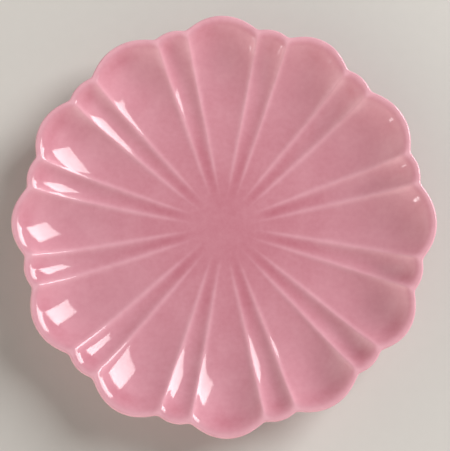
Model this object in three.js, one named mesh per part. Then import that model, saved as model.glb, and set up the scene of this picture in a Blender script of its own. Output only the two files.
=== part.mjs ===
// Salad plate moulded as an open flower. Twelve broad petals alternate with twelve narrow ones, and a low
// ridge runs along each side of a narrow petal out to the scalloped lip. The clay body stands on a foot ring
// and carries a coat of glaze that stops short of the tread.
// Millimetres, +Z up. The origin is under the middle of the plate, at the height of the tread.
import * as THREE from "three";

// Outline of the clay rim: arcs for the petal tips, meeting in notches that are sharp in the wall and more
// rounded at the lip and below it
const PETAL_PAIRS = 12;
const BROAD_TIP_RADIUS = 102.6;
const BROAD_ARC_RADIUS = 22.5;
const NARROW_TIP_RADIUS = 98.5;
const NARROW_ARC_RADIUS = 12.1;
const WALL_NOTCH_ROUNDING = 0.8;
const NOTCH_ROUNDING = 2.6;
const UNDERSIDE_NOTCH_ROUNDING = 6;

// Ridges: half the distance between the two beside a narrow petal, where they start at the middle, and how
// round their crests are
const RIDGE_START_OFFSET = 1.2;
const CREST_ROUNDING = 7.3;

// Heights of the clay
const CENTRE_CLEARANCE = 3.5;
const FLOOR_THICKNESS = 5;
const DISH_DEPTH = 17.4;

// Lip: its edge, how far in from the outline the wall ends, how broadly the wall rolls over, and how far the
// edge draws in towards the underside
const LIP_THICKNESS = 4.5;
const LIP_RUN = 2.8;
const LIP_ROLL_HEIGHT = 0.95;
const LIP_UNDERCUT = 1.6;
const EDGE_ROUNDING = 0.7;

// Rise of the dish from its level centre to the lip: along the ridges, and along the middle of each kind of
// petal. The bowl share of the rise is a shallow curve, and the rest is a high power that steepens the wall.
// The hollow power shapes a petal between its ridges and its middle.
const CENTRE_RADIUS = 5.9;
const RIDGE = { bowlShare: 0.3, bowlPower: 2, wallPower: 6.85 };
const BROAD = { bowlShare: 0.27, bowlPower: 2, wallPower: 8.45, hollowPower: 1.9 };
const NARROW = { bowlShare: 0.22, bowlPower: 2, wallPower: 7.45, hollowPower: 2.35 };
const UNDERSIDE_RELIEF_SHARE = 0.5;

// Foot ring
const TREAD_RADIUS = 55;
const TREAD_WIDTH = 4;
const FOOT_FLARE = 1.6;

// Glaze
const GLAZE_THICKNESS = 0.4;
const BARE_FOOT_HEIGHT = 1.6;

// Where the sections are taken: across each petal from ridge to ridge, and along it
const BROAD_LINES = [-0.75, -0.5, -0.25, 0, 0.25, 0.5, 0.75];
const NARROW_LINES = [-1, -0.5, 0, 0.5, 1];
const DISH_STATIONS = [0.2, 0.42, 0.6, 0.74, 0.84, 0.91, 0.96, 1];
const LIP_STATIONS = [0.5, 1];
const EDGE_TURNS = [Math.PI / 4, Math.PI / 2];
const UNDERSIDE_STATIONS = [0.25, 0.5, 0.75, 1];
const FOOT_WELL_STATIONS = [1, 0.55];

// Worked out from the sizes above
const HALF_SECTOR = Math.PI / PETAL_PAIRS;
const BROAD_ARC_CENTRE = BROAD_TIP_RADIUS - BROAD_ARC_RADIUS;
const NARROW_ARC_CENTRE = NARROW_TIP_RADIUS - NARROW_ARC_RADIUS;
const RIM_LEVEL = CENTRE_CLEARANCE + FLOOR_THICKNESS + DISH_DEPTH;
const LOWER_RISE = RIM_LEVEL - LIP_THICKNESS - CENTRE_CLEARANCE;
const TREAD_INNER = TREAD_RADIUS - TREAD_WIDTH / 2;
const TREAD_OUTER = TREAD_RADIUS + TREAD_WIDTH / 2;
const NOTCH = notchPoint();
const RIDGE_SPREAD = (NOTCH.y - RIDGE_START_OFFSET) / NOTCH.x;

// The notch beside a narrow petal: where its arc crosses the next broad petal's arc, with the narrow
// petal's centre line along x.
function notchPoint() {
  const narrow = new THREE.Vector2(NARROW_ARC_CENTRE, 0);
  const broad = new THREE.Vector2(BROAD_ARC_CENTRE, 0).rotateAround(new THREE.Vector2(), HALF_SECTOR);
  const apart = broad.clone().sub(narrow);
  const distance = apart.length();
  const along = (NARROW_ARC_RADIUS ** 2 - BROAD_ARC_RADIUS ** 2 + distance ** 2) / (2 * distance);
  const outward = Math.sqrt(Math.max(NARROW_ARC_RADIUS ** 2 - along ** 2, 0));
  const direction = apart.normalize();
  const square = new THREE.Vector2(direction.y, -direction.x);
  return narrow.addScaledVector(direction, along).addScaledVector(square, outward);
}

// Distance from the plate's middle to a petal's arc, at an angle from that petal's centre line
function arcReach(centre, radius, angle) {
  const across = centre * Math.sin(angle);
  return centre * Math.cos(angle) + Math.sqrt(Math.max(radius ** 2 - across ** 2, 0));
}

// Outline at an angle from the nearest narrow petal's centre line, with its notches rounded
function outlineRadius(angle, rounding) {
  const broad = arcReach(BROAD_ARC_CENTRE, BROAD_ARC_RADIUS, HALF_SECTOR - angle);
  const narrow = arcReach(NARROW_ARC_CENTRE, NARROW_ARC_RADIUS, angle);
  return (broad + narrow + Math.hypot(broad - narrow, rounding)) / 2;
}

// Angle between a ridge and its narrow petal's centre line
function ridgeAngle(radius) {
  const reach = Math.min(radius, NOTCH.length());
  return Math.atan2(RIDGE_START_OFFSET + RIDGE_SPREAD * reach, reach);
}

// A line of points along a petal keeps its place between the two ridges, so its angle drifts as they spread.
// Across is -1 or 1 on a ridge and 0 on the petal's centre line.
function petalLine(profile, centreAngle, across) {
  const halfWidth = (radius) =>
    profile === NARROW ? ridgeAngle(radius) : HALF_SECTOR - ridgeAngle(radius);
  const fromCentre = Math.abs(across) * halfWidth(NOTCH.length());
  const fromNarrow = profile === NARROW ? fromCentre : HALF_SECTOR - fromCentre;
  return {
    profile,
    hollowAt: (radius) => hollow(profile, halfWidth(radius) * radius, 1 - Math.abs(across)),
    angleAt: (radius) => centreAngle + across * halfWidth(radius),
    wallEnd: outlineRadius(fromNarrow, WALL_NOTCH_ROUNDING) - LIP_RUN,
    rim: outlineRadius(fromNarrow, NOTCH_ROUNDING),
    lowerRim: outlineRadius(fromNarrow, UNDERSIDE_NOTCH_ROUNDING) - LIP_UNDERCUT,
  };
}

// How far a point has sunk from a ridge to its petal's middle, from 0 to 1, at a share of the way across
function hollow(profile, halfWidth, share) {
  const fromCrest = (distance) => Math.hypot(distance, CREST_ROUNDING) - CREST_ROUNDING;
  return 1 - (1 - fromCrest(share * halfWidth) / fromCrest(halfWidth)) ** profile.hollowPower;
}

const lines = [];
for (let pair = 0; pair < PETAL_PAIRS; pair++) {
  const broadAngle = 2 * pair * HALF_SECTOR;
  for (const across of BROAD_LINES) {
    lines.push(petalLine(BROAD, broadAngle, across));
  }
  for (const across of NARROW_LINES) {
    lines.push(petalLine(NARROW, broadAngle + HALF_SECTOR, across));
  }
}

function rise({ bowlShare, bowlPower, wallPower }, share) {
  return bowlShare * share ** bowlPower + (1 - bowlShare) * share ** wallPower;
}

// Share of the full rise on a petal line: the ridges' rise, hollowed out towards the petal's own
function petalRise(line, radius, share, relief) {
  const ridge = rise(RIDGE, share);
  return ridge + (rise(line.profile, share) - ridge) * line.hollowAt(radius) * relief;
}

// Upper face: the wall would go on rising past the lip, and rolls over below the rim's level instead
function upperHeight(line, radius) {
  const share = Math.max(radius - CENTRE_RADIUS, 0) / (line.wallEnd - CENTRE_RADIUS);
  const overRim = DISH_DEPTH * (petalRise(line, radius, share, 1) - 1);
  return RIM_LEVEL + (overRim - Math.hypot(overRim, 2 * LIP_ROLL_HEIGHT)) / 2;
}

// Underside: follows the dish with softened petals out to the lip's lower edge, and is plain inside the foot
function lowerHeight(line, radius) {
  const share = Math.max(radius - CENTRE_RADIUS, 0) / (line.lowerRim - CENTRE_RADIUS);
  return CENTRE_CLEARANCE + LOWER_RISE * petalRise(line, radius, share, UNDERSIDE_RELIEF_SHARE);
}

function footWellHeight(radius) {
  const share = Math.max(radius - CENTRE_RADIUS, 0) / (BROAD_TIP_RADIUS - CENTRE_RADIUS);
  return CENTRE_CLEARANCE + LOWER_RISE * rise(RIDGE, share);
}

// One ring of points, from a function that gives each petal line's radius and height
function ring(radiusAndHeight) {
  return lines.map((line) => {
    const [radius, height] = radiusAndHeight(line);
    const angle = line.angleAt(radius);
    return new THREE.Vector3(radius * Math.cos(angle), radius * Math.sin(angle), height);
  });
}

const upperRing = (radiusOf) => ring((line) => [radiusOf(line), upperHeight(line, radiusOf(line))]);
const lowerRing = (radiusOf) => ring((line) => [radiusOf(line), lowerHeight(line, radiusOf(line))]);

// The clay's whole surface as rows of points, from the middle of its upper face to the middle of the other
const dishRows = DISH_STATIONS.map((share) =>
  upperRing((line) => THREE.MathUtils.lerp(CENTRE_RADIUS, line.wallEnd, share)),
);
const roundedEdgeRing = (turn) =>
  ring((line) => [
    line.rim - EDGE_ROUNDING * (1 - Math.sin(turn)),
    upperHeight(line, line.rim) - EDGE_ROUNDING * (1 - Math.cos(turn)),
  ]);
const lipRows = LIP_STATIONS.map((share) =>
  upperRing((line) => THREE.MathUtils.lerp(line.wallEnd, line.rim - EDGE_ROUNDING, share)),
);
const edgeRows = [
  ...EDGE_TURNS.map(roundedEdgeRing),
  lowerRing((line) => line.lowerRim),
];
const footRootOuter = TREAD_OUTER + FOOT_FLARE;
const footRootInner = TREAD_INNER - FOOT_FLARE;
const undersideRows = UNDERSIDE_STATIONS.map((share) =>
  lowerRing((line) => THREE.MathUtils.lerp(line.lowerRim, footRootOuter, share)),
);
// The foot's sides slope from their roots on the underside to the tread, and the glaze stops on them
function footSide(treadRadius, rootRadius, rootHeight) {
  const share = BARE_FOOT_HEIGHT / rootHeight;
  return [THREE.MathUtils.lerp(treadRadius, rootRadius, share), BARE_FOOT_HEIGHT];
}
const footRows = [
  ring((line) => footSide(TREAD_OUTER, footRootOuter, lowerHeight(line, footRootOuter))),
  ring(() => [TREAD_OUTER, 0]),
  ring(() => [TREAD_INNER, 0]),
  ring(() => footSide(TREAD_INNER, footRootInner, footWellHeight(footRootInner))),
];
const footWellRows = FOOT_WELL_STATIONS.map((share) =>
  ring(() => [share * footRootInner, footWellHeight(share * footRootInner)]),
);
const clayRows = [
  [new THREE.Vector3(0, 0, upperHeight(lines[0], CENTRE_RADIUS))],
  ...dishRows,
  ...lipRows,
  ...edgeRows,
  ...undersideRows,
  ...footRows,
  ...footWellRows,
  [new THREE.Vector3(0, 0, CENTRE_CLEARANCE)],
];
const coatEndRow = 1 + dishRows.length + lipRows.length + edgeRows.length + undersideRows.length;
const wellStartRow = coatEndRow + footRows.length - 1;

// A closed surface over rows of points that starts and ends with a single point. Rows keep the same diagonals
// whichever way they are run through, so that glaze and clay meet face to face.
function closedSurface(rows, rowOrder) {
  const positions = [];
  const firstPoint = rows.map((row) => {
    const first = positions.length / 3;
    row.forEach((point) => positions.push(point.x, point.y, point.z));
    return first;
  });
  const indices = [];
  for (let row = 0; row + 1 < rows.length; row++) {
    const isForward = rowOrder[row] <= rowOrder[row + 1];
    for (let line = 0; line < lines.length; line++) {
      const next = (line + 1) % lines.length;
      const pick = (which, column) => firstPoint[which] + (rows[which].length > 1 ? column : 0);
      const here = pick(row, line);
      const hereNext = pick(row, next);
      const beyond = pick(row + 1, line);
      const beyondNext = pick(row + 1, next);
      if (isForward) {
        indices.push(here, beyond, hereNext, hereNext, beyond, beyondNext);
      } else {
        indices.push(here, beyond, beyondNext, here, beyondNext, hereNext);
      }
    }
  }
  // Where a row is a single point, half of the triangles beside it have no area and are left out
  const faces = [];
  for (let corner = 0; corner < indices.length; corner += 3) {
    const [a, b, c] = indices.slice(corner, corner + 3);
    if (a !== b && b !== c && c !== a) {
      faces.push(a, b, c);
    }
  }
  const geometry = new THREE.BufferGeometry();
  geometry.setAttribute("position", new THREE.Float32BufferAttribute(positions, 3));
  geometry.setIndex(faces);
  geometry.computeVertexNormals();
  return geometry;
}

const clayGeometry = closedSurface(
  clayRows,
  clayRows.map((row, index) => index),
);

// The glaze's outer face: every point of the clay, moved out along its normal by the glaze's thickness
const clayNormals = clayGeometry.getAttribute("normal");
let pointCount = 0;
const glazeRows = clayRows.map((row) =>
  row.map((point) => {
    const normal = new THREE.Vector3().fromBufferAttribute(clayNormals, pointCount++);
    return point.clone().addScaledVector(normal, GLAZE_THICKNESS);
  }),
);

// Glaze over the rows from first to last, out over its own face and back along the clay
function glazeGeometry(first, last) {
  const order = [];
  for (let row = first; row <= last; row++) {
    order.push(row);
  }
  const outer = order.map((row) => glazeRows[row]);
  const inner = order.map((row) => clayRows[row]).reverse();
  const backwards = order.slice().reverse();
  return first === 0
    ? closedSurface([...outer, ...inner], [...order, ...backwards])
    : closedSurface([...inner, ...outer], [...backwards, ...order]);
}

const biscuit = new THREE.MeshStandardMaterial({ color: 0xe2d3c0, roughness: 0.9, metalness: 0 });
const pinkGlaze = new THREE.MeshStandardMaterial({ color: 0xcf909c, roughness: 0.12, metalness: 0 });
const pinkWellGlaze = pinkGlaze.clone();

const earthenwareBody = new THREE.Mesh(clayGeometry, biscuit);
earthenwareBody.name = "earthenware_body";
const glazeCoat = new THREE.Mesh(glazeGeometry(0, coatEndRow), pinkGlaze);
glazeCoat.name = "glaze_coat";
const footWellGlaze = new THREE.Mesh(glazeGeometry(wellStartRow, clayRows.length - 1), pinkWellGlaze);
footWellGlaze.name = "foot_well_glaze";

const saladPlate = new THREE.Group();
saladPlate.add(earthenwareBody, glazeCoat, footWellGlaze);

export default saladPlate;
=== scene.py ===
import math

import bpy
import numpy as np
from mathutils import Matrix, Vector


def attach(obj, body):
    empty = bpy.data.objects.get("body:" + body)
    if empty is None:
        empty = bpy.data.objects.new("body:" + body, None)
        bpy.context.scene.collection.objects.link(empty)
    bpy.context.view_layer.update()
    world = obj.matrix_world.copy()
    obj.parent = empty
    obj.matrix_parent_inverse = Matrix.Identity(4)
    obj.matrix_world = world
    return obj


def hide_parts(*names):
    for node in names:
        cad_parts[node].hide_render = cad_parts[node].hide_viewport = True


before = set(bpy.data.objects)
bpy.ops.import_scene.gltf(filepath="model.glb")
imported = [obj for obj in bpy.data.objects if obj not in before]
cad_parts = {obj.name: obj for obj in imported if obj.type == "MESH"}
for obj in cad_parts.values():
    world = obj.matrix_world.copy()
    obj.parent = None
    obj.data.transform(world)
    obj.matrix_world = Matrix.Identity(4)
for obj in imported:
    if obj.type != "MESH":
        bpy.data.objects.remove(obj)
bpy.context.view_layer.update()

# Earthenware body: the plate itself, one piece of buff clay pressed in a flower-shaped mould and fired to
# biscuit. Twelve broad petals alternate with twelve narrow ones, a low ridge runs between each two out to
# the lip, and the foot ring is moulded on below. Only the foot's tread is left bare.

# The plate's sizes are in millimetres until its meshes are made
MM = 0.001
PETAL_PAIRS = 12
HALF_SECTOR = math.pi / PETAL_PAIRS

# Outline of the rim: arcs for the petal tips, meeting in rounded notches
BROAD_TIP_RADIUS = 102.6
BROAD_ARC_RADIUS = 22.5
NARROW_TIP_RADIUS = 98.5
NARROW_ARC_RADIUS = 12.1
WALL_NOTCH_ROUNDING = 0.8
NOTCH_ROUNDING = 2.6
UNDERSIDE_NOTCH_ROUNDING = 6.0

# Ridges: where they start, how far from a narrow petal's centre line, how round the mould left them, and the
# rib that stands out along each crest
RIDGE_START_RADIUS = 12.0
RIDGE_START_OFFSET = 1.2
CREST_ROUNDING = 7.3
RIB_HEIGHT = 0.38
RIB_WIDTH = 1.4
RIB_START_RADIUS = 24.0
RIB_FULL_RADIUS = 70.0

# The mould was cut by hand: how far each narrow petal stands from its even place, in degrees, how much more
# it has swung by the rim, and how far each broad petal reaches past an even rim. Swing and reach grow with
# powers of the radius.
NARROW_LEAN = (0.9, 0.5, -0.7, -0.5, 1.1, -0.5, -1.3, -0.4, -0.2, 0.45, 0.4, 0.3)
RIM_SWING = (-1.2, 0, 0, 0.5, 0, 0, 0, 0, 0, -0.8, -1.1, -2.4)
BROAD_REACH = (0.0, -0.35, 0.4, 0.7, -0.6, -1.2, -0.2, 0.5, 1.1, 0.7, -0.7, -0.3)
SWING_POWER = 3
REACH_POWER = 8

# Heights, lip and foot
CENTRE_CLEARANCE = 3.5
FLOOR_THICKNESS = 5.0
DISH_DEPTH = 17.4
RIM_LEVEL = CENTRE_CLEARANCE + FLOOR_THICKNESS + DISH_DEPTH
LIP_THICKNESS = 4.5
LIP_RUN = 2.8
LIP_ROLL_HEIGHT = 0.95
LIP_UNDERCUT = 1.6
EDGE_ROUNDING = 0.7
LOWER_EDGE_ROUNDING = 1.6
LOWER_RISE = RIM_LEVEL - LIP_THICKNESS - CENTRE_CLEARANCE
CENTRE_RADIUS = 5.9
TREAD_RADIUS = 55.0
TREAD_WIDTH = 4.0
FOOT_FLARE = 1.6
FOOT_FILLET = 3.0
TREAD_ROUNDING = 0.8

# Rise from the level centre to the lip: share of a shallow bowl curve, its power, and the steep wall's power
RIDGE_RISE = (0.3, 2.0, 6.85)
BROAD_RISE = (0.27, 2.0, 8.45)
NARROW_RISE = (0.22, 2.0, 7.45)
BROAD_HOLLOW_POWER = 1.9
NARROW_HOLLOW_POWER = 2.35
UNDERSIDE_RELIEF_SHARE = 0.5


def arc_reach(centre, radius, angle):
    """Distance from the plate's middle to a petal's arc, at an angle from that petal's centre line."""
    return centre * np.cos(angle) + np.sqrt(np.maximum(radius**2 - (centre * np.sin(angle)) ** 2, 0))


def petal_arcs(from_narrow):
    """Reach of the broad and the narrow arc, at an angle from a narrow petal's centre line."""
    broad = arc_reach(BROAD_TIP_RADIUS - BROAD_ARC_RADIUS, BROAD_ARC_RADIUS, HALF_SECTOR - from_narrow)
    narrow = arc_reach(NARROW_TIP_RADIUS - NARROW_ARC_RADIUS, NARROW_ARC_RADIUS, from_narrow)
    return broad, narrow


def outline(from_narrow, rounding):
    """The farther of the two arcs, with a rounded notch where they cross."""
    broad, narrow = petal_arcs(from_narrow)
    return (broad + narrow + np.hypot(broad - narrow, rounding)) / 2


# The notch is where the two arcs cross, and each ridge runs straight to it
CROSSING_TRIALS = 30001
fan = np.linspace(0, HALF_SECTOR, CROSSING_TRIALS)
notch_angle = fan[np.argmin(np.abs(np.subtract(*petal_arcs(fan))))]
notch_radius = petal_arcs(notch_angle)[0]
notch_out = notch_radius * math.cos(notch_angle)
notch_aside = notch_radius * math.sin(notch_angle)
ridge_spread = (notch_aside - RIDGE_START_OFFSET) / notch_out


def ridge_angle(radius):
    """Angle of a ridge from its narrow petal's centre line."""
    reach = np.clip(radius, RIDGE_START_RADIUS, notch_radius)
    return np.arctan2(RIDGE_START_OFFSET + ridge_spread * reach, reach)


# Lines of points along the petals, closest together at the ridges. Across is -1 or 1 on a ridge, and 0 half
# way between two.
BROAD_STEPS = 22
NARROW_STEPS = 14
across, is_narrow, petal_angle = [], [], []
for petal in range(2 * PETAL_PAIRS):
    steps = NARROW_STEPS if petal % 2 else BROAD_STEPS
    across.append(np.sin(np.linspace(-1, 1, steps + 1)[:-1] * math.pi / 2))
    is_narrow.append(np.full(steps, bool(petal % 2)))
    petal_angle.append(np.full(steps, petal * HALF_SECTOR))
across, is_narrow, petal_angle = (np.concatenate(part) for part in (across, is_narrow, petal_angle))


def half_angle(radius):
    """Angle from each line's own petal middle to its ridge."""
    to_ridge = ridge_angle(radius)
    return np.where(is_narrow, to_ridge, HALF_SECTOR - to_ridge)


rim_offset = np.abs(across) * half_angle(notch_radius)
rim_from_narrow = np.where(is_narrow, rim_offset, HALF_SECTOR - rim_offset)
rim = outline(rim_from_narrow, NOTCH_ROUNDING)
wall_end = outline(rim_from_narrow, WALL_NOTCH_ROUNDING) - LIP_RUN
lower_rim = outline(rim_from_narrow, UNDERSIDE_NOTCH_ROUNDING) - LIP_UNDERCUT


def crest_distance(radius):
    """Distance along a circle from each line to its nearest ridge."""
    return (1 - np.abs(across)) * half_angle(radius) * radius


def hollow(radius):
    """How far a point has sunk from the ridges to the petal's own middle, from 0 to 1."""
    rounded = np.hypot(crest_distance(radius), CREST_ROUNDING) - CREST_ROUNDING
    whole = np.hypot(half_angle(radius) * radius, CREST_ROUNDING) - CREST_ROUNDING
    return 1 - (1 - rounded / whole) ** np.where(is_narrow, NARROW_HOLLOW_POWER, BROAD_HOLLOW_POWER)


def bell(distance, width):
    return np.exp(-((distance / width) ** 2))


def eased(value, start, end):
    share = np.clip((value - start) / (end - start), 0, 1)
    return share * share * (3 - 2 * share)


def rib(radius):
    grown = eased(radius, RIB_START_RADIUS, RIB_FULL_RADIUS)
    return RIB_HEIGHT * grown * bell(crest_distance(radius), RIB_WIDTH)


def rise(curve, share):
    """Rise along a curve, from 0 at the level centre to 1 at the lip."""
    bowl_share, bowl_power, wall_power = curve
    return bowl_share * share**bowl_power + (1 - bowl_share) * share**wall_power


def petal_rise(share, sunk):
    """Rise between the ridges' curve and each petal's own, by how far a point has sunk."""
    ridge = rise(RIDGE_RISE, share)
    own = np.where(is_narrow, rise(NARROW_RISE, share), rise(BROAD_RISE, share))
    return ridge + (own - ridge) * sunk


def way_out(radius, end):
    """Share of the way from the level centre to an end."""
    return np.maximum(radius - CENTRE_RADIUS, 0) / (end - CENTRE_RADIUS)


def upper_height(radius):
    """Upper face: the wall would go on rising past the lip, and rolls over below the rim's level instead."""
    over_rim = DISH_DEPTH * (petal_rise(way_out(radius, wall_end), hollow(radius)) - 1) + rib(radius)
    return RIM_LEVEL + (over_rim - np.hypot(over_rim, 2 * LIP_ROLL_HEIGHT)) / 2


def lower_height(radius):
    sunk = hollow(radius) * UNDERSIDE_RELIEF_SHARE
    return CENTRE_CLEARANCE + LOWER_RISE * petal_rise(way_out(radius, lower_rim), sunk)


def foot_well_height(radius):
    return CENTRE_CLEARANCE + LOWER_RISE * rise(RIDGE_RISE, way_out(radius, BROAD_TIP_RADIUS))


def shares(count):
    """Even shares of a way, the last of them its end; the start is left out."""
    return np.linspace(0, 1, count + 1)[1:]


def between(start, end, share):
    return tuple(a + (b - a) * share for a, b in zip(start, end))


def rounded_corner(start, corner, end, steps):
    """Rows of a bend from start to end, pulled towards the corner; the start itself is left out."""
    return [
        tuple((1 - t) ** 2 * a + 2 * t * (1 - t) * b + t**2 * c for a, b, c in zip(start, corner, end))
        for t in shares(steps)
    ]


# The clay's surface as rows of radius and height, from the middle of the upper face to the middle of the
# underside. In the dish they crowd towards the steep wall.
CENTRE_SHARES = (0.35, 0.7, 1)
DISH_ROWS = 56
DISH_CROWDING = 1.6
LIP_ROWS = 10
EDGE_ROWS = 6
BEND_ROWS = 6
UNDERSIDE_ROWS = 16
FILLET_ROWS = 6
TREAD_EDGE_ROWS = 5
WELL_ROWS = 12
WELL_LAST_SHARE = 0.1

# Upper face and lip. Times level, one number stands for a whole row.
level = np.ones_like(across)
dish_radii = [CENTRE_RADIUS * share * level for share in CENTRE_SHARES]
for share in 1 - (1 - shares(DISH_ROWS)) ** DISH_CROWDING:
    dish_radii.append(CENTRE_RADIUS + share * (wall_end - CENTRE_RADIUS))
for share in shares(LIP_ROWS):
    dish_radii.append(wall_end + share * (rim - EDGE_ROUNDING - wall_end))
rows = [(radius, upper_height(radius)) for radius in dish_radii]
edge_top = upper_height(rim)
for turn in shares(EDGE_ROWS) * math.pi / 2:
    rows.append((
        rim - EDGE_ROUNDING * (1 - math.sin(turn)),
        edge_top - EDGE_ROUNDING * (1 - math.cos(turn)),
    ))
lower_corner = (lower_rim, lower_height(lower_rim))
bend_start = between(lower_corner, rows[-1], 0.5)
bend_end = (lower_rim - LOWER_EDGE_ROUNDING, lower_height(lower_rim - LOWER_EDGE_ROUNDING))
rows += [between(rows[-1], bend_start, 0.5), bend_start]
lip_end = len(rows)
rows += rounded_corner(bend_start, lower_corner, bend_end, BEND_ROWS)

# Underside, foot ring and the well inside it
tread_outer = TREAD_RADIUS + TREAD_WIDTH / 2
tread_inner = TREAD_RADIUS - TREAD_WIDTH / 2
root_outer = (tread_outer + FOOT_FLARE) * level
root_inner = (tread_inner - FOOT_FLARE) * level
outer_corner = (root_outer, lower_height(root_outer))
inner_corner = (root_inner, foot_well_height(root_inner))
fillet_start = root_outer + FOOT_FILLET
for share in shares(UNDERSIDE_ROWS):
    radius = bend_end[0] + (fillet_start - bend_end[0]) * share
    rows.append((radius, lower_height(radius)))

# The glaze line on the foot wanders a little, as a wiped edge does, in long sways and short ones around the
# foot. Rows come closest together at this line.
BARE_FOOT_HEIGHT = 1.6
LONG_SWAY = 0.12
LONG_SWAYS_AROUND = 7
SHORT_SWAY = 0.09
SHORT_SWAYS_AROUND = 19
SHARES_TO_LINE = (0.4, 0.7, 0.8, 0.88, 0.94, 0.98, 1)
line_angle = petal_angle + across * half_angle(tread_outer * level)
wiped_height = (
    BARE_FOOT_HEIGHT
    + LONG_SWAY * np.sin(LONG_SWAYS_AROUND * line_angle)
    + SHORT_SWAY * np.sin(SHORT_SWAYS_AROUND * line_angle + 1)
)


def on_foot_side(tread_edge, corner, height):
    """A row at a height on one of the foot's slanting sides."""
    return between((tread_edge * level, 0 * level), corner, height / corner[1])


outer_side = on_foot_side(tread_outer, outer_corner, outer_corner[1] - FOOT_FILLET)
outer_wiped = on_foot_side(tread_outer, outer_corner, wiped_height)
rows += rounded_corner(rows[-1], outer_corner, outer_side, FILLET_ROWS)
rows += [between(rows[-1], outer_wiped, share) for share in SHARES_TO_LINE]
coat_end = len(rows)
edge_start = on_foot_side(tread_outer, outer_corner, TREAD_ROUNDING)
edge_end = ((tread_outer - TREAD_ROUNDING) * level, 0 * level)
tread_corner = (tread_outer * level, 0 * level)
rows += [edge_start, *rounded_corner(edge_start, tread_corner, edge_end, TREAD_EDGE_ROWS)]
edge_start = ((tread_inner + TREAD_ROUNDING) * level, 0 * level)
edge_end = on_foot_side(tread_inner, inner_corner, TREAD_ROUNDING)
tread_corner = (tread_inner * level, 0 * level)
rows += [edge_start, *rounded_corner(edge_start, tread_corner, edge_end, TREAD_EDGE_ROWS)]
inner_wiped = on_foot_side(tread_inner, inner_corner, wiped_height)
inner_side = on_foot_side(tread_inner, inner_corner, inner_corner[1] - FOOT_FILLET)
well_start = len(rows)
rows += [between(inner_side, inner_wiped, share) for share in (*reversed(SHARES_TO_LINE), 0)]
fillet_end = (root_inner - FOOT_FILLET, foot_well_height(root_inner - FOOT_FILLET))
rows += rounded_corner(rows[-1], inner_corner, fillet_end, FILLET_ROWS)
for share in 1 - (1 - WELL_LAST_SHARE) * shares(WELL_ROWS):
    radius = fillet_end[0] * share
    rows.append((radius, foot_well_height(radius)))


def around(values, place):
    """A value between those of the two petals on either side of a place, counted in petals."""
    before = np.floor(place).astype(int)
    share = eased(place - before, 0, 1)
    values = np.array(values)
    return values[before % PETAL_PAIRS] * (1 - share) + values[(before + 1) % PETAL_PAIRS] * share


def hand_cut(radius, height):
    """The points of a row, moved from an evenly divided flower to the uneven one of the mould."""
    angle = petal_angle + across * half_angle(radius)
    broad_place = angle / (2 * HALF_SECTOR)
    narrow_place = broad_place - 0.5
    outwards = radius / BROAD_TIP_RADIUS
    reached = radius + around(BROAD_REACH, broad_place) * outwards**REACH_POWER
    swing = around(RIM_SWING, narrow_place) * outwards**SWING_POWER
    turned = angle + np.radians(around(NARROW_LEAN, narrow_place) + swing)
    return np.stack([reached * np.cos(turned), reached * np.sin(turned), height * level], axis=1) * MM


clay = np.array([hand_cut(radius, height) for radius, height in rows])
top_point = np.array([0, 0, (RIM_LEVEL - DISH_DEPTH) * MM])
bottom_point = np.array([0, 0, CENTRE_CLEARANCE * MM])


def closed_mesh(name, points, first_point, last_point):
    """One smooth closed surface over rows of points, drawn together to a single point at each end."""
    row_count, line_count = points.shape[:2]
    index = np.arange(row_count * line_count).reshape(row_count, line_count) + 1
    following = np.roll(index, -1, axis=1)
    quads = np.stack([index[:-1], index[1:], following[1:], following[:-1]], axis=-1).reshape(-1, 4)
    last = row_count * line_count + 1
    first_fan = [(0, a, b) for a, b in zip(index[0].tolist(), following[0].tolist())]
    last_fan = [(a, last, b) for a, b in zip(index[-1].tolist(), following[-1].tolist())]
    vertices = np.vstack([first_point, points.reshape(-1, 3), last_point])
    mesh = bpy.data.meshes.new(name)
    mesh.from_pydata(vertices.tolist(), [], first_fan + quads.tolist() + last_fan)
    mesh.shade_smooth()
    piece = bpy.data.objects.new(name, mesh)
    bpy.context.collection.objects.link(piece)
    return piece


def linear(hex_colour):
    """An sRGB hex colour as linear red, green, blue and an alpha of 1."""
    channels = [int(hex_colour[place:place + 2], 16) / 255 for place in (1, 3, 5)]
    return [c / 12.92 if c <= 0.04045 else ((c + 0.055) / 1.055) ** 2.4 for c in channels] + [1]


def add_node(owner, kind, settings, sockets):
    """A node with its settings. A socket that is given another node's output is linked to it."""
    tree = owner.node_tree
    node = tree.nodes.new(kind)
    for name, value in settings.items():
        setattr(node, name, value)
    for socket, value in sockets.items():
        if isinstance(value, bpy.types.NodeSocket):
            tree.links.new(value, node.inputs[socket])
        else:
            node.inputs[socket].default_value = value
    return node.outputs


# Colour sockets of a mix node, which share their names with its sockets for numbers
FIRST_COLOUR = 6
SECOND_COLOUR = 7
MIXED_COLOUR = 2

# Biscuit earthenware, wiped with a sponge: dry and matt, a warm buff in faint clouds with fine darker grit
GRIT_SIZE = 0.6 * MM
GRIT_RELIEF = 0.06 * MM
CLOUD_SIZE = 9 * MM
biscuit = bpy.data.materials.new("biscuit_earthenware_sponged")
biscuit.use_nodes = True
biscuit.node_tree.nodes.clear()
place = add_node(biscuit, "ShaderNodeTexCoord", {}, {})["Object"]
clouds = add_node(biscuit, "ShaderNodeTexNoise", {}, {"Vector": place, "Scale": 1 / CLOUD_SIZE, "Detail": 3})
grit = add_node(biscuit, "ShaderNodeTexNoise", {}, {"Vector": place, "Scale": 1 / GRIT_SIZE, "Detail": 4})
grit_share = add_node(
    biscuit, "ShaderNodeMapRange", {},
    {"Value": grit["Fac"], "From Min": 0.52, "From Max": 0.72, "To Max": 0.55},
)
buff = add_node(
    biscuit, "ShaderNodeMix", {"data_type": "RGBA"},
    {"Factor": clouds["Fac"], FIRST_COLOUR: linear("#E8DCC9"), SECOND_COLOUR: linear("#D8C4A8")},
)
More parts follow.
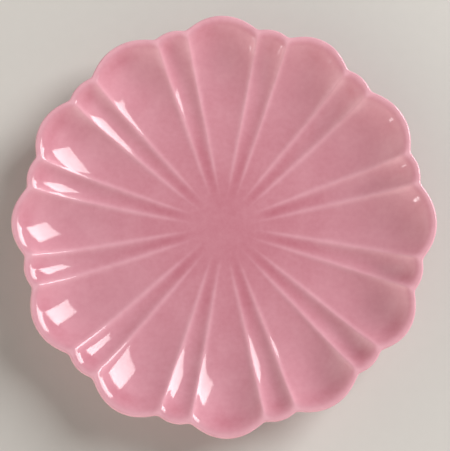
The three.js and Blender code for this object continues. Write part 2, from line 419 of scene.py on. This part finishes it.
gritty = add_node(
    biscuit, "ShaderNodeMix", {"data_type": "RGBA"},
    {"Factor": grit_share["Result"], FIRST_COLOUR: buff[MIXED_COLOUR], SECOND_COLOUR: linear("#A58B6C")},
)
tooth = add_node(
    biscuit, "ShaderNodeBump", {"invert": True}, {"Height": grit["Fac"], "Distance": GRIT_RELIEF},
)
surface = add_node(
    biscuit, "ShaderNodeBsdfPrincipled", {},
    {"Base Color": gritty[MIXED_COLOUR], "Roughness": 0.88, "IOR": 1.5, "Normal": tooth["Normal"]},
)
add_node(biscuit, "ShaderNodeOutputMaterial", {}, {"Surface": surface["BSDF"]})

body = closed_mesh("clay_plate", clay, top_point, bottom_point)
body.data.materials.append(biscuit)
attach(body, "root")
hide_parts("earthenware_body")

# Glaze coat: pink glass melted on to the biscuit, over the whole upper face, the lip and the underside down
# to the foot. It is modelled in one thickness. Its colour is paler where it ran thin on the ridges, deeper
# where it pooled in the narrow valleys, and deeper towards the centre. The lip's edge is paler, partly thin
# glaze and partly painted reflection; the petal tips just inside the lip are darker, partly pooled glaze and
# partly painted shade.

GLAZE_THICKNESS = 0.4

# Depth of colour, from 0 palest to 1 deepest: on plain stretches and on the rim's edge, what crests and lip
# lose, and what the centre, the narrow valleys and the petal tips gain. The lip's and the edge's loss is
# partly painted reflection, and the tips' gain partly painted shade.
UNDERSIDE_DEPTH = 0.5
PLAIN_DEPTH = 0.45
EDGE_DEPTH = 0.1
CREST_LOSS = 0.32
LIP_THIN_AND_REFLECTION_LOSS = 0.35
CENTRE_GAIN = 0.25
VALLEY_GAIN = 0.18
TIP_POOL_AND_SHADE_GAIN = 0.22

# Where each of these acts, as widths, insets from the rim and stretches of radius
CREST_BARE_WIDTH = 1.4
CREST_WIDENS = (15, 60)
CREST_PALES = (13, 36)
# The lip's pale edge is partly glaze run thin and partly a painted reflection along the rounded lip
LIP_THIN_AND_REFLECTION_INSET = 0.7
LIP_THIN_AND_REFLECTION_WIDTH = 1.5
# Width of the gradual deepening of colour towards the centre
CENTRE_DEEPENING_WIDTH = 50
VALLEY_DEEPENS = (10, 28)
VALLEY_POOL_RADIUS = 32
VALLEY_POOL_WIDTH = 24
# Darker band inside the lip at the petal tips: partly glaze pooled at the wall's foot, partly painted shade
# on the steep wall
TIP_POOL_AND_SHADE_INSET = 6.5
TIP_POOL_AND_SHADE_WIDTH = 3

depth = np.full(clay.shape[:2], UNDERSIDE_DEPTH)
for row, radius in enumerate(dish_radii):
    bare_width = CREST_BARE_WIDTH * (1 + eased(radius, *CREST_WIDENS)) / 2
    drawn = bell(crest_distance(radius), bare_width) * eased(radius, *CREST_PALES)
    # Pale lip edge: partly thin glaze, partly a painted reflection of the room's light on the rounded lip
    lip_thin_and_reflection = bell(np.maximum(rim - radius - LIP_THIN_AND_REFLECTION_INSET, 0), LIP_THIN_AND_REFLECTION_WIDTH)
    valley = is_narrow * hollow(radius) * eased(radius, *VALLEY_DEEPENS)
    valley = valley * bell(radius - VALLEY_POOL_RADIUS, VALLEY_POOL_WIDTH)
    # Petal tips just inside the lip: partly pooled glaze, partly painted shade
    tip = hollow(radius) * bell(rim - radius - TIP_POOL_AND_SHADE_INSET, TIP_POOL_AND_SHADE_WIDTH)
    pooled_and_painted_shade = CENTRE_GAIN * bell(radius, CENTRE_DEEPENING_WIDTH) + VALLEY_GAIN * valley + TIP_POOL_AND_SHADE_GAIN * tip
    depth[row] = PLAIN_DEPTH + pooled_and_painted_shade - CREST_LOSS * drawn - LIP_THIN_AND_REFLECTION_LOSS * lip_thin_and_reflection
# The rim's rounded edge is painted pale: partly thin glaze, partly a painted reflection along the edge
depth[len(dish_radii):lip_end] = EDGE_DEPTH

along_rows = np.gradient(clay, axis=0)
along_lines = np.roll(clay, -1, axis=1) - np.roll(clay, 1, axis=1)
outward = np.cross(along_rows, along_lines)
outward /= np.linalg.norm(outward, axis=2, keepdims=True)

# The edge of the glaze is a soft bead that ends on the clay
BEAD = (0.2, 0.55, 0.8, 0.92, 0.98)
thickness = np.full(len(rows), GLAZE_THICKNESS * MM)
thickness[coat_end - len(BEAD):coat_end] *= BEAD[::-1]
thickness[well_start:well_start + len(BEAD)] *= BEAD
glaze = clay + outward * thickness[:, None, None]


def add_depth(piece, first, values, last):
    """Depth of colour at every point of a piece, for the glaze's material to read."""
    attribute = piece.data.attributes.new("glaze_depth_and_painted_light", "FLOAT", "POINT")
    attribute.data.foreach_set("value", np.concatenate([[first], values.ravel(), [last]]))


# Pink glaze, glossy as it froze: a smooth glassy face over a cloudy pink that pales where it runs thin and
# where a reflection is painted on the lip, and deepens where it pools and where shade is painted in the tips
MOTTLE_SIZE = 14 * MM
MOTTLE_DEPTH = 0.07
FLECK_SIZE = 2.5 * MM
FLECK_DEPTH = 0.05
RIPPLE_SIZE = 7 * MM
RIPPLE_RELIEF = 0.02 * MM
NOISE_SPREAD = {"From Min": 0.3, "From Max": 0.7}


def pink_glaze(name):
    glass = bpy.data.materials.new(name)
    glass.use_nodes = True
    glass.node_tree.nodes.clear()
    place = add_node(glass, "ShaderNodeTexCoord", {}, {})["Object"]
    depth_here = add_node(glass, "ShaderNodeAttribute", {"attribute_name": "glaze_depth_and_painted_light"}, {})["Fac"]
    mottle = add_node(
        glass, "ShaderNodeTexNoise", {}, {"Vector": place, "Scale": 1 / MOTTLE_SIZE, "Detail": 2},
    )
    flecks = add_node(
        glass, "ShaderNodeTexNoise", {}, {"Vector": place, "Scale": 1 / FLECK_SIZE, "Detail": 3},
    )
    clouding = add_node(
        glass, "ShaderNodeMapRange", {},
        {"Value": mottle["Fac"], **NOISE_SPREAD, "To Min": -MOTTLE_DEPTH, "To Max": MOTTLE_DEPTH},
    )
    flecking = add_node(
        glass, "ShaderNodeMapRange", {},
        {"Value": flecks["Fac"], **NOISE_SPREAD, "To Min": -FLECK_DEPTH, "To Max": FLECK_DEPTH},
    )
    clouded = add_node(glass, "ShaderNodeMath", {"operation": "ADD"}, {0: depth_here, 1: clouding["Result"]})
    flecked = add_node(glass, "ShaderNodeMath", {"operation": "ADD"}, {0: clouded[0], 1: flecking["Result"]})
    pink = add_node(
        glass, "ShaderNodeMix", {"data_type": "RGBA"},
        {"Factor": flecked[0], FIRST_COLOUR: linear("#E5ADB9"), SECOND_COLOUR: linear("#BC6D7D")},
    )
    gloss = add_node(
        glass, "ShaderNodeMapRange", {},
        {"Value": flecks["Fac"], **NOISE_SPREAD, "To Min": 0.06, "To Max": 0.12},
    )
    ripple = add_node(
        glass, "ShaderNodeTexNoise", {}, {"Vector": place, "Scale": 1 / RIPPLE_SIZE, "Detail": 1},
    )
    wave = add_node(glass, "ShaderNodeBump", {}, {"Height": ripple["Fac"], "Distance": RIPPLE_RELIEF})
    surface = add_node(
        glass, "ShaderNodeBsdfPrincipled", {},
        {
            "Base Color": pink[MIXED_COLOUR], "Roughness": gloss["Result"],
            "IOR": 1.47, "Normal": wave["Normal"],
        },
    )
    add_node(glass, "ShaderNodeOutputMaterial", {}, {"Surface": surface["BSDF"]})
    return glass


top_glaze = top_point + [0, 0, GLAZE_THICKNESS * MM]
coat_rows = np.concatenate([glaze[:coat_end], clay[:coat_end][::-1]])
coat_depth = np.concatenate([depth[:coat_end], depth[:coat_end][::-1]])
coat = closed_mesh("glaze_over_plate", coat_rows, top_glaze, top_point)
add_depth(coat, depth[0, 0], coat_depth, depth[0, 0])
coat.data.materials.append(pink_glaze("pink_glaze_fired_glossy"))
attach(coat, "root")
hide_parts("glaze_coat")

# Foot-well glaze: the same pink glass in the shallow well inside the foot ring, cut off from the rest of the
# glaze by the wiped tread. It was poured in and swirled, and lies evenly.

bottom_glaze = bottom_point - [0, 0, GLAZE_THICKNESS * MM]
well_rows = np.concatenate([clay[well_start:][::-1], glaze[well_start:]])
well_depth = np.concatenate([depth[well_start:][::-1], depth[well_start:]])
well = closed_mesh("glaze_in_foot_well", well_rows, bottom_point, bottom_glaze)
add_depth(well, depth[-1, 0], well_depth, depth[-1, 0])
well.data.materials.append(pink_glaze("pink_glaze_poured_in_well"))
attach(well, "root")
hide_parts("foot_well_glaze")

# Floor, light and camera: a plain pale table, a large softbox at the upper right, a small one low on the
# left, soft light from the room, and the camera almost overhead. Softboxes and camera are placed by the
# picture and then turned to the plate.

PLATE_TURN = math.radians(0.97)
RIM_CENTRE = Vector((0, 0, RIM_LEVEL * MM))
to_plate = Matrix.Rotation(-PLATE_TURN, 3, "Z")

# Matt table paint: an even pale grey with the faintest unevenness of tone
TABLE_HALF_WIDTH = 3.0
TONE_SIZE = 6 * MM
corners = [
    (x * TABLE_HALF_WIDTH, y * TABLE_HALF_WIDTH, 0) for x, y in ((-1, -1), (1, -1), (1, 1), (-1, 1))
]
table_mesh = bpy.data.meshes.new("table_top")
table_mesh.from_pydata(corners, [], [(0, 1, 2, 3)])
table = bpy.data.objects.new("table_top", table_mesh)
bpy.context.collection.objects.link(table)
paint = bpy.data.materials.new("pale_table_paint_matt")
paint.use_nodes = True
paint.node_tree.nodes.clear()
place = add_node(paint, "ShaderNodeTexCoord", {}, {})["Object"]
patches = add_node(paint, "ShaderNodeTexNoise", {}, {"Vector": place, "Scale": 1 / TONE_SIZE, "Detail": 4})
tone = add_node(
    paint, "ShaderNodeMix", {"data_type": "RGBA"},
    {"Factor": patches["Fac"], FIRST_COLOUR: linear("#D0CDC8"), SECOND_COLOUR: linear("#CDCAC5")},
)
surface = add_node(
    paint, "ShaderNodeBsdfPrincipled", {}, {"Base Color": tone[MIXED_COLOUR], "Roughness": 0.75},
)
add_node(paint, "ShaderNodeOutputMaterial", {}, {"Surface": surface["BSDF"]})
table.data.materials.append(paint)


def direction(azimuth, elevation):
    """Unit vector from two angles in degrees."""
    flat = math.cos(math.radians(elevation))
    azimuth = math.radians(azimuth)
    return Vector((flat * math.cos(azimuth), flat * math.sin(azimuth), math.sin(math.radians(elevation))))


def standing(right, upward, back, distance):
    """A place that looks back at the rim's centre from a distance, with its own right and up."""
    axes = to_plate @ Matrix((right, upward, back)).transposed()
    return Matrix.Translation(RIM_CENTRE + axes.col[2] * distance) @ axes.to_4x4()


# Softboxes: metres, watts and degrees
SOFTBOX_DISTANCE = 2.5
BRIGHT_END = 1.25
DIM_END = 0.75


def softbox(name, towards, roll, width, height, energy):
    """A flat rectangular light that faces the plate and fades a little towards one end."""
    side = Vector((-towards.y, towards.x, 0)).normalized()
    up = towards.cross(side)
    turn = math.radians(roll)
    light = bpy.data.lights.new(name, "AREA")
    light.shape = "RECTANGLE"
    light.size = width
    light.size_y = height
    light.energy = energy
    light.use_nodes = True
    light.node_tree.nodes.clear()
    face = add_node(light, "ShaderNodeNewGeometry", {}, {})
    place = add_node(light, "ShaderNodeSeparateXYZ", {}, {"Vector": face["Parametric"]})
    fade = add_node(
        light, "ShaderNodeMapRange", {}, {"Value": place["Y"], "To Min": BRIGHT_END, "To Max": DIM_END},
    )
    shining = add_node(light, "ShaderNodeEmission", {}, {"Strength": fade["Result"]})
    add_node(light, "ShaderNodeOutputLight", {}, {"Surface": shining["Emission"]})
    lamp = bpy.data.objects.new(name, light)
    bpy.context.collection.objects.link(lamp)
    rolled_side = math.cos(turn) * side + math.sin(turn) * up
    rolled_up = math.cos(turn) * up - math.sin(turn) * side
    lamp.matrix_world = standing(rolled_side, rolled_up, towards, SOFTBOX_DISTANCE)


softbox("large_softbox", direction(31.6, 32.8), roll=8.5, width=1.36, height=1.75, energy=84.5)
softbox("small_softbox", direction(207, 18), roll=0, width=0.2, height=0.12, energy=0.9)

# Room light: broad lobes, most of them low on the side away from the large softbox
LOBE_POWER = 9
world = bpy.data.worlds.new("room_light")
bpy.context.scene.world = world
world.use_nodes = True
world.node_tree.nodes.clear()
sky = add_node(world, "ShaderNodeTexCoord", {}, {})["Generated"]


def glow(azimuth, elevation, strength):
    """Soft light from one side of the room, as a broad lobe about a direction."""
    aim = direction(azimuth, elevation)
    along = add_node(world, "ShaderNodeVectorMath", {"operation": "DOT_PRODUCT"}, {0: sky, 1: aim})
    facing = add_node(world, "ShaderNodeMath", {"operation": "MAXIMUM"}, {0: along["Value"], 1: 0})
    lobe = add_node(world, "ShaderNodeMath", {"operation": "POWER"}, {0: facing[0], 1: LOBE_POWER})
    return add_node(world, "ShaderNodeMath", {"operation": "MULTIPLY"}, {0: lobe[0], 1: strength})[0]


glows = [
    glow(240, 56, 0.53), glow(157, 16, 1.1), glow(337, 16, 0.35),
    glow(180, 3, 2.0), glow(225, 3, 3.0), glow(270, 3, 3.3),
]
room = glows[0]
for more in glows[1:]:
    room = add_node(world, "ShaderNodeMath", {"operation": "ADD"}, {0: room, 1: more})[0]
background = add_node(world, "ShaderNodeBackground", {}, {"Color": linear("#FFF8F0"), "Strength": room})
add_node(world, "ShaderNodeOutputWorld", {}, {"Surface": background["Background"]})

# Camera: how far it leans sideways and towards the viewer for each unit up, its distance in metres, and
# where and how large the rim lies in the picture
CAMERA_LEAN = (-0.018, -0.173)
CAMERA_DISTANCE = 0.615
PICTURE_WIDTH = 450
PICTURE_HEIGHT = 451
RIM_CENTRE_PIXEL = (224.5, 221.0)
RIM_RADIUS_PIXELS = 212.2
RIM_RADIUS = 102.5 * MM
back = Vector((*CAMERA_LEAN, 1)).normalized()
right = (Vector((1, 0, 0)) - back.x * back).normalized()
lens = bpy.data.cameras.new("camera")
lens.sensor_fit = "HORIZONTAL"
lens.lens = RIM_RADIUS_PIXELS / RIM_RADIUS * CAMERA_DISTANCE / PICTURE_WIDTH * lens.sensor_width
lens.shift_x = (PICTURE_WIDTH / 2 - RIM_CENTRE_PIXEL[0]) / PICTURE_WIDTH
lens.shift_y = (RIM_CENTRE_PIXEL[1] - PICTURE_HEIGHT / 2) / PICTURE_WIDTH
camera = bpy.data.objects.new("camera", lens)
bpy.context.collection.objects.link(camera)
camera.matrix_world = standing(right, back.cross(right), back, CAMERA_DISTANCE)
bpy.context.scene.camera = camera
bpy.context.scene.view_settings.view_transform = "Standard"
